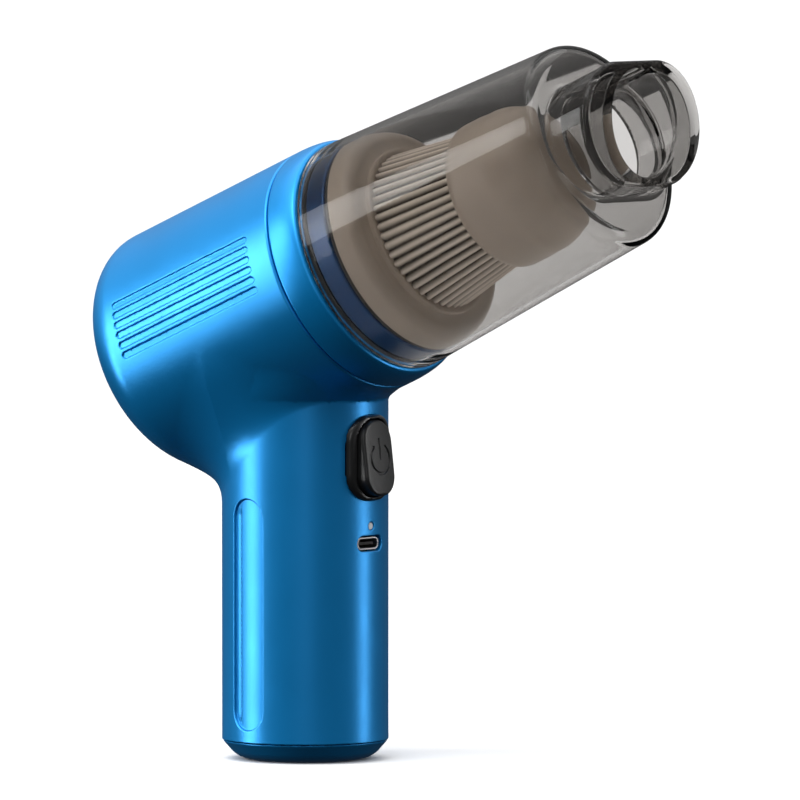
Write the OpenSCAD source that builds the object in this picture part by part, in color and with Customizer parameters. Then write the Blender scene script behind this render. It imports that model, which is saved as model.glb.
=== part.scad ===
// Cordless hand vacuum: a tilted barrel on an upright handle, with a clear
// dust cup and a racetrack inlet nozzle. Z is up, X is the way the nozzle
// points, and the origin is the centre of the handle's flat base.
// Pieces in the barrel are drawn in the barrel's own frame: its Z runs along
// the barrel axis from where that meets the handle axis, and its X points down.

/* [Barrel] */
// Diameter of the barrel
barrel_d = 67.4; // [60:0.2:82]
// Tilt of the barrel axis above the horizontal
barrel_tilt = 23; // [15:1:30]
// Height of the barrel's underside where it crosses the handle axis
under_z = 86.59; // [80:0.01:100]
// Distance from the handle axis back to the rear face
rear_len = 54.6; // [50:0.2:66]
// How far the rear rounding reaches in from the barrel's side
rear_round_r = 19.4; // [12:0.2:20]
// How far the rear rounding reaches along the barrel
rear_round_len = 13.8; // [8:0.2:16]
// Distance from the handle axis forward to the collar joint
collar_s = 17.7; // [16:0.1:24]
// Wall thickness of the housing
wall = 2.2; // [1.6:0.1:3]

/* [Side flutes] */
// Number of flutes on each side
flute_count = 6; // [3:1:8]
// Width of one flute
flute_w = 2.2; // [1.4:0.1:2.4]
// Length of one flute
flute_len = 49; // [30:1:56]
// Angle round the barrel from one flute to the next
flute_pitch_deg = 4.85; // [4.6:0.05:6]
// Angle of the middle of the flutes above the barrel's side
flute_mid_deg = 9.1; // [0:0.1:15]
// Place of the middle of the flutes along the barrel
flute_mid_s = -14.2; // [-20:0.2:-10]
// Depth of the flutes
flute_depth = 0.5; // [0.3:0.1:1]

/* [Front collar] */
// Length of the collar in front of its joint
collar_len = 9; // [7:0.2:12]
// Step from the barrel's side in to the collar's front edge
collar_drop = 1.4; // [0.8:0.1:2]
// Length of the spigot that the dust cup fits over
spigot_len = 7.9; // [6:0.1:10]
// Length of the collar's sleeve inside the housing
sleeve_len = 5; // [4:0.5:6]
// Radius of the air opening through the collar's bulkhead
air_r = 18; // [14:0.5:18]

/* [Handle] */
// Diameter of the handle
handle_d = 44; // [43.5:0.5:54]
// Height of the chamfered base
base_h = 5.2; // [4.2:0.2:6.4]
// Width of the chamfer round the base
base_chamfer = 3.6; // [2:0.2:4]
// Height above the barrel's underside at which the web starts
web_start = 8.9; // [6:0.1:14]
// How far forward the web leans
web_reach = 14.5; // [8:0.5:16]
// Height over which the web leans forward
web_rise = 12; // [10:0.5:14]
// Length of the grip recess on each side
grip_len = 61; // [40:1:66]
// Width of the grip recess
grip_w = 10.5; // [6:0.5:14]
// Height of the middle of the grip recess
grip_z = 39; // [38:1:45]
// Angle of the grip recess round from the handle's front
grip_deg = 97; // [85:1:105]
// Depth of the grip recess
grip_depth = 0.8; // [0.4:0.1:1.2]

/* [Dust cup] */
// Length of the cup from its rim to its front face
cup_len = 79.6; // [75:0.2:96]
// Gap between the collar's front edge and the cup's rim
cup_gap = 0.3; // [0.2:0.05:0.6]
// How far the cup's rim stands in from the collar's front edge
cup_step = 0.3; // [0.2:0.1:1]
// How much the cup's radius shrinks towards its front
cup_taper = 4; // [2:0.2:5]
// Radius of the rounding round the cup's front face
cup_round = 3.6; // [2:0.2:6]
// Wall thickness of the cup
cup_wall = 1.8; // [1.2:0.1:2.2]

/* [Inlet nozzle] */
// Width of the nozzle
nozzle_w = 48.8; // [40:0.2:50]
// Height of the nozzle
nozzle_h = 31; // [30.4:0.2:34]
// Radius of the round inlet
inlet_r = 13.6; // [11:0.1:13.6]
// Distance from the cup's front face to the middle of the lip
nozzle_len = 13.4; // [12:0.2:20]
// Angle that the lip's face turns down from the barrel axis
mouth_tilt = 16; // [0:1:18]
// Thickness of the lip
lip_t = 2.6; // [1.5:0.1:4]
// How far the lip stands out round the nozzle
lip_out = 0.5; // [0.2:0.1:1.5]

/* [Filter] */
// Length of the filter frame
frame_len = 9; // [7:0.5:12]
// Radius of the pleats where they leave the frame
pleat_rear_r = 21.8; // [20:0.1:22]
// Radius of the pleats where they meet the cap
pleat_front_r = 18.2; // [16:0.1:19]
// Depth of one pleat
pleat_depth = 1.4; // [1:0.1:2]
// Number of pleats
pleat_count = 50; // [30:2:60]
// Length of the pleats
pleat_len = 23.5; // [18:0.5:26]
// Length of the domed cap
cap_len = 24; // [18:0.5:24]
// Radius of the domed cap
cap_r = 20.2; // [19.6:0.1:22]

/* [Motor and fan] */
// Radius of the motor can
can_r = 14; // [12:0.5:14]
// Length of the motor can
can_len = 30; // [26:1:30]
// Radius of the motor shaft
shaft_r = 1.5; // [1:0.1:2]
// Gap between the shaft and its bushes
shaft_fit = 0.04; // [0.02:0.01:0.08]
// Radius of the impeller
fan_r = 18.4; // [14:0.1:18.4]
// Number of impeller blades
blade_count = 9; // [5:1:12]
// Thickness of the motor mount
mount_t = 4; // [3:0.5:5]

/* [Battery] */
// Diameter of one cell
cell_d = 18.4; // [14:0.1:18.6]
// Length of one cell
cell_len = 65; // [50:1:70]

/* [Controls] */
// Height of the middle of the power button
button_z = 80.3; // [78:0.1:84]
// Width of the power button
button_w = 12.3; // [10:0.1:14]
// Height of the power button
button_h = 20; // [16:0.5:20.5]
// How far the middle of the button stands out of the handle
button_out = 3; // [2.4:0.1:4]
// Lean of the button's face, with its lower end further out
button_lean = 7; // [0:0.5:8]
// Travel of the power button
button_travel = 1; // [0.5:0.1:1]
// Width of the bezel rim beside the button
bezel_side = 2.85; // [2:0.05:3.2]
// Width of the bezel rim above and below the button
bezel_end = 1.3; // [1:0.1:2]
// How far the bezel stands out of the handle
bezel_out = 1.3; // [0.8:0.1:2]
// Height of the charging port
port_z = 57.7; // [52:0.1:58]
// Width of the opening for the charging port
port_w = 10.4; // [9.6:0.1:12]
// Height of the opening for the charging port
port_h = 4.1; // [3.8:0.1:5]
// Height of the status light
light_z = 62.3; // [61.5:0.1:63]
// Radius of the status light
light_r = 0.9; // [0.6:0.1:1]

/* [Fits] */
// Gap round a piece that moves
slide_gap = 0.3; // [0.2:0.05:0.5]
// Gap round a piece that is fixed in its seat
seat_gap = 0.15; // [0.1:0.05:0.3]
// Radius of the screws' threads
screw_r = 1.3; // [1:0.1:1.5]

/* [Hidden] */
$fn = 72;
// A little extra so that a cut passes clean through
eps = 0.1;
// More than the size of the whole vacuum
huge = 400;
// Steps in one quarter turn of a rounded outline
arc_steps = 10;

barrel_r = barrel_d / 2;
barrel_z = under_z + barrel_r / cos(barrel_tilt);
web_z = under_z + web_start;
bore_r = barrel_r - wall;
handle_r = handle_d / 2;
handle_bore_r = handle_r - wall;
rear_flat_r = barrel_r - rear_round_r;
collar_front_s = collar_s + collar_len;
collar_edge_r = barrel_r - collar_drop;

cup_rim_s = collar_front_s + cup_gap;
cup_rim_r = collar_edge_r - cup_step;
cup_front_s = cup_rim_s + cup_len;
cup_front_r = cup_rim_r - cup_taper;
socket_r = cup_rim_r - cup_wall;
spigot_r = socket_r - slide_gap - 0.2;
spigot_s = collar_front_s + spigot_len;
spigot_wall = 2.2;
seal_w = 1.4;
seal_low_s = cup_rim_s + 0.2;
seal_groove = 1.1;

// The bulkhead closes the collar, and the motor's parts stack back from it
bulkhead_t = 2.5;
bulkhead_s = collar_s + 4.3;
fan_seal_t = 2;
fan_cover_s = bulkhead_s - fan_seal_t;
mount_s = 4;
post_r = 3.2;
post_ring_r = spigot_r - spigot_wall - screw_r * 1.8 - 0.4;
post_angles = [60, 180, 300];
fan_cover_r = post_ring_r - post_r - 0.4;
fan_cover_t = 1;
can_front_s = mount_s - mount_t;
can_rear_s = can_front_s - can_len;
end_cap_t = 3;
can_wall = 1.2;
bush_r = 3.5;
bush_len = 4;
fan_s = mount_s + 3.5;

filter_s = spigot_s + slide_gap;
seal_t = 0.8;
frame_s = filter_s + seal_t;
pleat_s = frame_s + frame_len - 0.5;
cap_s = pleat_s + pleat_len;
frame_r = socket_r - 0.6;
frame_bore_r = pleat_rear_r - pleat_depth - 2.4;
cap_spigot_r = pleat_front_r - pleat_depth - 1.4;

mouth_s = cup_front_s + nozzle_len;
cell_x = -4;
cell_y = cell_d / 2 + 0.2;
cell_z = base_h + 5;
spine_x = cell_x + cell_d / 2 + 1;
spine_t = 1.6;
board_t = 1.6;
board_x = handle_r - 11;
board_face_x = board_x + board_t;
board_low_z = port_z - 14;
board_high_z = button_z + 13;
board_w = 21;
board_screw_z = [port_z - 9, light_z + 5.5];
boss_x = handle_bore_r - 7.3;
boss_r = 2.8;
foot_z = base_h + 3.6;
foot_plate = 2.6;
head_well = 1.6;
head_well_r = screw_r * 2;

button_r = 5.5;
bezel_r = 7;
flange_t = 1.3;
sleeve_wall = 0.8;
sleeve_x = handle_r - 4.4;
flange_front_x = sleeve_x - slide_gap;
flange_back_x = flange_front_x - flange_t;
switch_t = 2;

// Points on a quarter of an ellipse, from angle a to angle b
function arc_points(cx, cy, rx, ry, a, b) = [
    for (i = [0:arc_steps]) let (t = a + (b - a) * i / arc_steps) [cx + rx * cos(t), cy + ry * sin(t)]
];

// Places its children in the barrel's own frame
module in_barrel() {
    translate([0, 0, barrel_z]) rotate([0, 90 - barrel_tilt, 0]) children();
}

// A ring or tube round the axis, from low to high
module ring(outer, inner, low, high) {
    translate([0, 0, low]) difference() {
        cylinder(r = outer, h = high - low);
        translate([0, 0, -eps]) cylinder(r = inner, h = high - low + 2 * eps);
    }
}

// A disc or rod on the axis, from low to high
module rod(r, low, high) {
    translate([0, 0, low]) cylinder(r = r, h = high - low);
}

// A flat slot outline of full length len and width w, along X
module slot_outline(len, w) {
    square([len - w, w], center = true);
    for (side = [-1, 1]) translate([side * (len - w) / 2, 0]) circle(r = w / 2);
}

// A rectangle with round corners
module round_rect(w, h, r) {
    square([w - 2 * r, h], center = true);
    square([w, h - 2 * r], center = true);
    for (x = [-1, 1]) for (y = [-1, 1]) translate([x * (w / 2 - r), y * (h / 2 - r)]) circle(r = r);
}

// Stands a flat outline on the handle's front, from low to high along X
module from_front(z, low, high) {
    translate([low, 0, z]) rotate([90, 0, 90]) linear_extrude(high - low) children();
}

// Outer shape of the barrel back from its front edge at s
module barrel_solid(s) {
    rotate_extrude() polygon(concat(
        [[0, s], [0, -rear_len]],
        arc_points(rear_flat_r, rear_round_len - rear_len, rear_round_r, rear_round_len, -90, 0),
        [[barrel_r, s]]
    ));
}

// Outer shape of the collar in front of its joint
module collar_solid() {
    rotate_extrude() polygon(concat(
        [[0, collar_front_s], [0, collar_s], [barrel_r, collar_s]],
        arc_points(barrel_r - collar_drop, collar_s + 1, collar_drop, collar_len - 1, 0, 90)
    ));
}

// The handle, and the web that leans forward under the barrel
module handle_solid() {
    translate([0, 0, base_h]) cylinder(r = handle_r, h = barrel_z - base_h);
    hull() {
        translate([0, 0, web_z]) cylinder(r = handle_r, h = eps, $fn = 48);
        translate([web_reach, 0, web_z + web_rise]) cylinder(r = handle_r, h = eps, $fn = 48);
    }
}

// Half of space in front of the collar joint, in the barrel's frame
module ahead_of_joint() {
    translate([-huge / 2, -huge / 2, collar_s]) cube(huge);
}

// The hollow inside the barrel and the handle
module housing_hollow() {
    in_barrel() rotate_extrude() polygon(concat(
        [[0, huge], [0, wall - rear_len]],
        arc_points(rear_flat_r, rear_round_len - rear_len, rear_round_r - wall, rear_round_len - wall, -90, 0),
        [[bore_r, huge]]
    ));
    rod(handle_bore_r, 0, barrel_z);
}

module flute_cuts() {
    first = flute_mid_deg - flute_pitch_deg * (flute_count - 1) / 2;
    for (side = [-1, 1]) for (i = [0:flute_count - 1]) let (up = first + i * flute_pitch_deg)
        rotate([0, 0, side * (90 + up)]) translate([barrel_r - flute_depth, 0, flute_mid_s])
            rotate([0, 90, 0]) linear_extrude(5) slot_outline(flute_len, flute_w);
}

module grip_cuts() {
    for (side = [-1, 1]) rotate([0, 0, side * grip_deg])
        difference() {
            translate([0, 0, grip_z]) rotate([0, 90, 0]) linear_extrude(handle_r + 5) slot_outline(grip_len, grip_w);
            rod(handle_r - grip_depth, 0, barrel_z);
        }
}

module main_housing() {
    color("deepskyblue") {
        difference() {
            union() {
                in_barrel() barrel_solid(collar_s);
                difference() {
                    handle_solid();
                    in_barrel() ahead_of_joint();
                }
            }
            housing_hollow();
            in_barrel() flute_cuts();
            grip_cuts();
            in_barrel() rod(rear_flat_r - 1, -rear_len - eps, -rear_len + wall + eps);
            from_front(button_z, 0, handle_r + 5)
                round_rect(
                    button_w + 2 * (slide_gap + sleeve_wall + seat_gap),
                    button_h + 2 * (slide_gap + sleeve_wall + seat_gap),
                    button_r + 1
                );
            from_front(port_z, 0, handle_r + 5) slot_outline(port_w, port_h);
            translate([0, 0, light_z]) rotate([0, 90, 0]) cylinder(r = light_r + seat_gap, h = handle_r + 5);
        }
        // Shoulder that the motor mount rests on
        in_barrel() ring(bore_r + eps, bore_r - 2.5, can_front_s - 2, can_front_s);
        for (side = [-1, 1]) difference() {
            intersection() {
                union() {
                    translate([side * boss_x, 0, foot_z]) cylinder(r = boss_r, h = 9);
                    translate([side * (boss_x + handle_r) / 2, 0, foot_z + 4.5])
                        cube([handle_r - boss_x, 2, 9], center = true);
                }
                rod(handle_bore_r + eps, 0, barrel_z);
            }
            translate([side * boss_x, 0, foot_z - eps]) cylinder(r = screw_r + 0.05, h = 9 + 2 * eps);
        }
    }
}

module front_collar() {
    color("deepskyblue") {
        difference() {
            union() {
                in_barrel() collar_solid();
                intersection() {
                    handle_solid();
                    in_barrel() translate([-huge / 2, -huge / 2, collar_s]) cube([huge, huge, collar_len - 1]);
                }
                in_barrel() rod(bore_r - seat_gap, collar_s - sleeve_len, collar_s + eps);
                in_barrel() rod(spigot_r, collar_front_s - eps, spigot_s);
            }
            in_barrel() rod(bore_r - seat_gap - 2, collar_s - sleeve_len - eps, bulkhead_s);
            in_barrel() rod(spigot_r - spigot_wall, bulkhead_s + bulkhead_t, spigot_s + eps);
            in_barrel() difference() {
                rod(air_r, bulkhead_s - eps, bulkhead_s + bulkhead_t + eps);
                for (turn = [0, 90]) rotate([0, 0, turn])
                    translate([0, 0, bulkhead_s]) cube([2 * air_r + 2, 2, 3 * bulkhead_t], center = true);
                ring(air_r / 2 + 1, air_r / 2 - 1, bulkhead_s - 1, bulkhead_s + bulkhead_t + 1);
            }
            in_barrel() for (turn = post_angles) rotate([0, 0, turn])
                translate([post_ring_r, 0, bulkhead_s - eps]) cylinder(r = screw_r + 0.2, h = bulkhead_t + 2 * eps);
            in_barrel() ring(spigot_r + 1, spigot_r - seal_groove, seal_low_s, seal_low_s + seal_w);
        }
    }
}

module cup_seal() {
    color("dimgray") in_barrel()
        ring(spigot_r + 0.2, spigot_r - seal_groove + 0.05, seal_low_s + 0.05, seal_low_s + seal_w - 0.05);
}

module collar_screws() {
    color("silver") in_barrel() for (turn = post_angles) rotate([0, 0, turn]) translate([post_ring_r, 0, 0])
        union() {
            rod(screw_r, bulkhead_s - 7, bulkhead_s + bulkhead_t + eps);
            difference() {
                rod(screw_r * 1.8, bulkhead_s + bulkhead_t, bulkhead_s + bulkhead_t + 1.6);
                translate([0, 0, bulkhead_s + bulkhead_t + 1.3]) cube([screw_r * 2.4, 0.6, 1.4], center = true);
                translate([0, 0, bulkhead_s + bulkhead_t + 1.3]) cube([0.6, screw_r * 2.4, 1.4], center = true);
            }
        }
}

module base_cover() {
    color("deepskyblue") difference() {
        union() {
            rotate_extrude() polygon([
                [0, 0],
                [boss_x + head_well_r + 0.3, 0],
                [handle_r - base_chamfer, base_h * 0.21],
                [handle_r, base_h],
                [0, base_h]
            ]);
            rod(handle_bore_r - seat_gap, base_h - eps, base_h + 3.4);
        }
        rod(handle_bore_r - seat_gap - 2, foot_plate, base_h + 3.4 + eps);
        for (side = [-1, 1]) translate([side * boss_x, 0, 0]) {
            translate([0, 0, -eps]) cylinder(r = screw_r + 0.2, h = 10);
            translate([0, 0, -eps]) cylinder(r = head_well_r, h = head_well + eps);
        }
    }
    color("deepskyblue") for (side = [-1, 1]) translate([side * boss_x, 0, 0])
        ring(boss_r, screw_r + 0.2, foot_plate - eps, base_h + 3.4);
}

module base_screws() {
    color("silver") for (side = [-1, 1]) translate([side * boss_x, 0, 0]) union() {
        rod(screw_r, 0.5, foot_z + 7);
        difference() {
            rod(screw_r * 1.8, 0.3, 1.5);
            translate([0, 0, 0.4]) cube([screw_r * 2.4, 0.6, 1], center = true);
            translate([0, 0, 0.4]) cube([0.6, screw_r * 2.4, 1], center = true);
        }
    }
}

module exhaust_grille() {
    grille_r = rear_flat_r - 1 - seat_gap;
    color("dimgray") in_barrel() {
        difference() {
            union() {
                rod(grille_r, -rear_len, -rear_len + wall + 0.2);
                rod(grille_r + 1.8, -rear_len + wall + 0.1, -rear_len + wall + 1.2);
            }
            for (row = [-3:3]) let (half = sqrt(pow(grille_r - 1.6, 2) - pow(row * 3, 2)))
                translate([row * 3, 0, -rear_len - eps]) linear_extrude(4) rotate(90) slot_outline(2 * half, 1.6);
        }
    }
}

module exhaust_foam() {
    color("#303234") in_barrel() rod(rear_flat_r + 1.5, -rear_len + wall + 1.3, -rear_len + wall + 6.3);
}

// The cup's shell as an outline: in_by is 0 outside and the wall inside
module cup_profile(in_by, low) {
    front = cup_front_s - in_by;
    corner = max(cup_round - in_by, 0.5);
    side = cup_front_r - in_by;
    polygon(concat(
        [[0, front], [0, low], [cup_rim_r - in_by, low], [cup_rim_r - in_by, cup_rim_s + (in_by > 0 ? spigot_len : 0)]],
        arc_points(side - corner, front - corner, corner, corner, 0, 90)
    ));
}

module racetrack(out) {
    rotate(90) slot_outline(nozzle_w + 2 * out, nozzle_h + 2 * out);
}

module in_mouth() {
    in_barrel() translate([0, 0, mouth_s]) rotate([0, mouth_tilt, 0]) children();
}

module dust_cup() {
    color([0.35, 0.34, 0.33, 0.5]) difference() {
        union() {
            in_barrel() rotate_extrude() cup_profile(0, cup_rim_s);
            difference() {
                in_barrel() translate([0, 0, cup_front_s - cup_round]) linear_extrude(nozzle_len + 15) racetrack(0);
                in_mouth() translate([-huge / 2, -huge / 2, -lip_t / 2]) cube(huge);
            }
            in_mouth() translate([0, 0, -lip_t]) linear_extrude(lip_t) racetrack(lip_out);
        }
        in_barrel() rotate_extrude() cup_profile(cup_wall, cup_rim_s - 1);
        in_barrel() rod(inlet_r, cup_front_s - 10, cup_front_s + nozzle_len + 20);
    }
}

module filter_frame() {
    front = frame_s + frame_len;
    color("#6f675c") in_barrel() rotate_extrude() polygon(concat(
        [
            [frame_bore_r, pleat_s],
            [frame_bore_r, frame_s],
            [frame_r - 1.9, frame_s],
            [frame_r - 1.9, frame_s - 0.01],
            [frame_r, frame_s - 0.01]
        ],
        arc_points(frame_r - 3.5, front - 4.5, 3.5, 3.2, 0, 90),
        [[pleat_rear_r + 1, front - 0.8], [pleat_rear_r + 0.9, pleat_s]]
    ));
}

module filter_seal() {
    color("dimgray") in_barrel() ring(frame_r - 0.3, frame_r - 3.2, filter_s, frame_s - 0.01);
}

// One ring of pleats, with its folds at radius r and r less the pleat depth
module pleat_star(r) {
    polygon([
        for (i = [0:2 * pleat_count - 1]) let (a = i * 180 / pleat_count, p = i % 2 == 0 ? r : r - pleat_depth)
            [p * cos(a), p * sin(a)]
    ]);
}

module filter_pleats() {
    color("#8a8175") in_barrel() difference() {
        translate([0, 0, pleat_s]) linear_extrude(pleat_len, scale = pleat_front_r / pleat_rear_r)
            pleat_star(pleat_rear_r);
        rod(cap_spigot_r, pleat_s - eps, cap_s + eps);
    }
}

module filter_cap() {
    edge = 2.2;
    dome_r = cap_r * 0.6;
    dome_len = cap_len * 0.52;
    color("#7b7266") in_barrel() difference() {
        rotate_extrude() polygon(concat(
            [[0, cap_s + cap_len], [0, cap_s], [cap_r - edge, cap_s]],
            arc_points(cap_r - edge, cap_s + edge * 1.4, edge, edge * 1.4, -90, 0),
            arc_points(cap_r - dome_r, cap_s + cap_len - dome_len, dome_r, dome_len, 0, 90)
        ));
        rod(cap_spigot_r, cap_s - eps, cap_s + cap_len - 8);
    }
}

module motor_mount() {
    color("#2b2d2f") in_barrel() difference() {
        union() {
            rod(bore_r - seat_gap, can_front_s, mount_s);
            for (turn = post_angles) rotate([0, 0, turn]) translate([post_ring_r, 0, 0])
                rod(post_r, mount_s - eps, bulkhead_s);
        }
        rod(bush_r + 0.6, can_front_s - eps, mount_s + eps);
        for (turn = [0:45:315]) rotate([0, 0, turn + 22.5])
            translate([can_r + 3, 0, can_front_s - eps]) cylinder(r = 2.5, h = mount_t + 2 * eps);
        for (turn = post_angles) rotate([0, 0, turn])
            translate([post_ring_r, 0, bulkhead_s - 8]) cylinder(r = screw_r + 0.05, h = 8 + eps);
        for (side = [-1, 1])
            translate([0, side * can_r * 0.6, can_front_s - eps]) cylinder(r = screw_r + 0.1, h = mount_t + 2 * eps);
    }
}

module motor_can() {
    color("silver") in_barrel() difference() {
        union() {
            rod(can_r, can_rear_s, can_front_s);
            rod(bush_r + 0.4, can_front_s - eps, can_front_s + bush_len - 1.5);
        }
        rod(can_r - can_wall, can_rear_s - eps, can_front_s - 1.5);
        rod(bush_r, can_front_s - 2, can_front_s + bush_len);
        for (side = [-1, 1])
            translate([0, side * can_r * 0.6, can_front_s - 2]) cylinder(r = screw_r + 0.05, h = 3);
    }
}

module motor_end_cap() {
    color("#1d1e20") in_barrel() difference() {
        union() {
            rod(can_r, can_rear_s - end_cap_t, can_rear_s);
            rod(can_r - can_wall - 0.05, can_rear_s - eps, can_rear_s + 1.5);
        }
        rod(bush_r, can_rear_s - end_cap_t - eps, can_rear_s + 2);
    }
}

module shaft_bushes() {
    color("goldenrod") in_barrel() {
        ring(bush_r, shaft_r + shaft_fit, can_front_s - 1.5, can_front_s + bush_len - 1.5);
        ring(bush_r, shaft_r + shaft_fit, can_rear_s - end_cap_t, can_rear_s + 1);
    }
}

module motor_magnets() {
    color("#3c3c40") in_barrel() intersection() {
        ring(can_r - can_wall - 0.05, can_r - can_wall - 2.4, can_rear_s + 4, can_front_s - 5);
        for (side = [-1, 1]) translate([side * can_r, 0, 0]) cube([1.4 * can_r, 1.5 * can_r, huge], center = true);
    }
}

module motor_rotor() {
    rotor_r = can_r - can_wall - 3.2;
    color("#8d8f92") in_barrel() difference() {
        union() {
            rod(rotor_r, can_rear_s + 6, can_front_s - 6);
            rod(shaft_r + 2, can_rear_s + 2, can_front_s - 3);
        }
        rod(shaft_r, can_rear_s, can_front_s);
        for (turn = [0:72:288]) rotate([0, 0, turn])
            translate([rotor_r, 0, can_rear_s + 6 - eps]) linear_extrude(can_len) square([3, 1.4], center = true);
    }
}

module motor_shaft() {
    color("silver") in_barrel() rod(shaft_r, can_rear_s - end_cap_t - 1, fan_s + 9);
}

module motor_screws() {
    color("silver") in_barrel() for (side = [-1, 1]) translate([0, side * can_r * 0.6, 0]) union() {
        rod(screw_r, can_front_s - 1.4, mount_s + eps);
        rod(screw_r * 1.7, mount_s, mount_s + 1.4);
    }
}

module impeller() {
    blade_t = 0.9;
    sweep_r = fan_r * 0.62;
    color("lightgray") in_barrel() difference() {
        union() {
            rod(fan_r, fan_s, fan_s + 1);
            rod(shaft_r + 3, fan_s, fan_s + 8);
            translate([0, 0, fan_s + 1 - eps]) linear_extrude(6.4) intersection() {
                difference() {
                    circle(r = fan_r - 0.3);
                    circle(r = shaft_r + 2.5);
                }
                for (i = [0:blade_count - 1]) rotate(i * 360 / blade_count) translate([sweep_r, 0]) difference() {
                    circle(r = sweep_r);
                    circle(r = sweep_r - blade_t);
                    translate([-huge / 2, 0]) square(huge);
                }
            }
        }
        rod(shaft_r, fan_s - eps, fan_s + 10);
    }
}

module fan_cover() {
    color("silver") in_barrel() difference() {
        rod(fan_cover_r, mount_s, fan_cover_s);
        rod(fan_cover_r - fan_cover_t, mount_s - eps, fan_cover_s - fan_cover_t);
        rod(fan_cover_r * 0.42, fan_cover_s - 2 * fan_cover_t, fan_cover_s + eps);
    }
}

module fan_seal() {
    color("dimgray") in_barrel() ring(fan_cover_r, air_r + 0.5, fan_cover_s, bulkhead_s);
}

// One round cell: a can with its raised positive end
module cell(side) {
    translate([cell_x, side * cell_y, 0]) {
        rod(cell_d / 2, cell_z, cell_z + cell_len - 1.2);
        rod(cell_d / 2 - 1.6, cell_z, cell_z + cell_len - 0.8);
        rod(3, cell_z, cell_z + cell_len);
    }
}

module cell_left() {
    color("seagreen") cell(1);
}

module cell_right() {
    color("seagreen") cell(-1);
}

// Nickel strips: one across the tops, and a tab under each cell
module cell_links() {
    top_z = cell_z + cell_len;
    color("silver") {
        translate([cell_x - 3, -cell_y - 3, top_z]) cube([6, 2 * cell_y + 6, 0.3]);
        for (side = [-1, 1]) translate([cell_x - 3, side * cell_y - 3, cell_z - 0.3]) cube([6, 6, 0.3]);
    }
}

module battery_cradle() {
    low = cell_z - 1.5;
    top = cell_z + cell_len + 0.3;
    plate_r = handle_bore_r - 0.4;
    color("#e9e4d6") difference() {
        union() {
            intersection() {
                union() {
                    rod(plate_r, low, cell_z - 0.3);
                    rod(plate_r, top, top + 1.5);
                }
                translate([-huge + spine_x + spine_t, -huge / 2, 0]) cube(huge);
            }
            translate([spine_x, -board_w / 2, low]) cube([spine_t, board_w, top + 1.5 - low]);
            for (z = board_screw_z) translate([spine_x, 0, z]) rotate([0, 90, 0]) cylinder(r = 2.6, h = board_x - spine_x);
        }
        for (z = board_screw_z) translate([spine_x + spine_t, 0, z]) rotate([0, 90, 0]) cylinder(r = 0.9, h = 10);
        translate([-boss_x, 0, 0]) rod(boss_r + 0.4, 0, foot_z + 9.4);
        translate([-handle_r, -1.4, 0]) cube([handle_r - boss_x, 2.8, foot_z + 9.4]);
    }
}

module circuit_board() {
    color("darkgreen") difference() {
        translate([board_x, -board_w / 2, board_low_z]) cube([board_t, board_w, board_high_z - board_low_z]);
        for (z = board_screw_z) translate([board_x - eps, 0, z]) rotate([0, 90, 0]) cylinder(r = 1.1, h = 3);
    }
}

module board_screws() {
    color("silver") for (z = board_screw_z) translate([0, 0, z]) rotate([0, 90, 0]) union() {
        rod(0.85, board_x - 2.5, board_face_x + eps);
        rod(1.8, board_face_x, board_face_x + 1.1);
    }
}

module usb_shell() {
    shell_x = board_face_x;
    mouth_x = handle_r - 1.2;
    color("silver") difference() {
        from_front(port_z, shell_x, mouth_x) slot_outline(port_w - 1.4, port_h - 0.9);
        from_front(port_z, shell_x + 1, mouth_x + eps) slot_outline(port_w - 2.1, port_h - 1.6);
    }
}

module usb_insert() {
    color("#1d1e20") {
        from_front(port_z, board_face_x + 1, board_face_x + 2.4) slot_outline(port_w - 2.2, port_h - 1.7);
        translate([board_face_x + 2.3, -3.3, port_z - 0.35]) cube([handle_r - board_face_x - 4.4, 6.6, 0.7]);
    }
}

module status_light() {
    color("white") translate([0, 0, light_z]) rotate([0, 90, 0]) rod(light_r, board_face_x, handle_r - 0.3);
}

module power_switch() {
    color("#2b2d2f") difference() {
        translate([board_face_x, -3, button_z - 3]) cube([switch_t, 6, 6]);
        translate([board_face_x + 0.2, 0, button_z]) rotate([0, 90, 0]) cylinder(r = 1.6, h = switch_t);
    }
}

module switch_plunger() {
    color("#2b2d2f") translate([0, 0, button_z]) rotate([0, 90, 0])
        rod(1.5, board_face_x + 0.3 + button_travel, flange_back_x);
}

// The round-cornered opening in the bezel that the button slides in, grown by out
module button_outline(out) {
    round_rect(button_w + 2 * out, button_h + 2 * out, button_r + min(out, 1));
}

module button_bezel() {
    color("#1d1e20") difference() {
        union() {
            intersection() {
                from_front(button_z, 5, handle_r + 5)
                    round_rect(button_w + 2 * bezel_side, button_h + 2 * bezel_end, bezel_r);
                ring(handle_r + bezel_out, handle_r + 0.02, 0, barrel_z);
            }
            intersection() {
                from_front(button_z, sleeve_x, handle_r + 5) button_outline(slide_gap + sleeve_wall);
                rod(handle_r + bezel_out - 0.3, 0, barrel_z);
            }
        }
        from_front(button_z, 0, handle_r + 6) button_outline(slide_gap);
    }
}

module power_button() {
    color("#2b2d2f") {
        difference() {
            from_front(button_z, flange_front_x - eps, handle_r + button_out + 4) button_outline(0);
            translate([handle_r + button_out, 0, button_z]) rotate([0, button_lean, 0])
                translate([0, -huge / 2, -huge / 2]) cube(huge);
        }
        difference() {
            from_front(button_z, flange_back_x, flange_front_x) button_outline(slide_gap + 0.6);
            for (z = [-1, 1]) from_front(button_z + z * (button_h / 2 + 2.2), 0, flange_front_x + eps)
                square([huge, 4], center = true);
        }
    }
}

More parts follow.
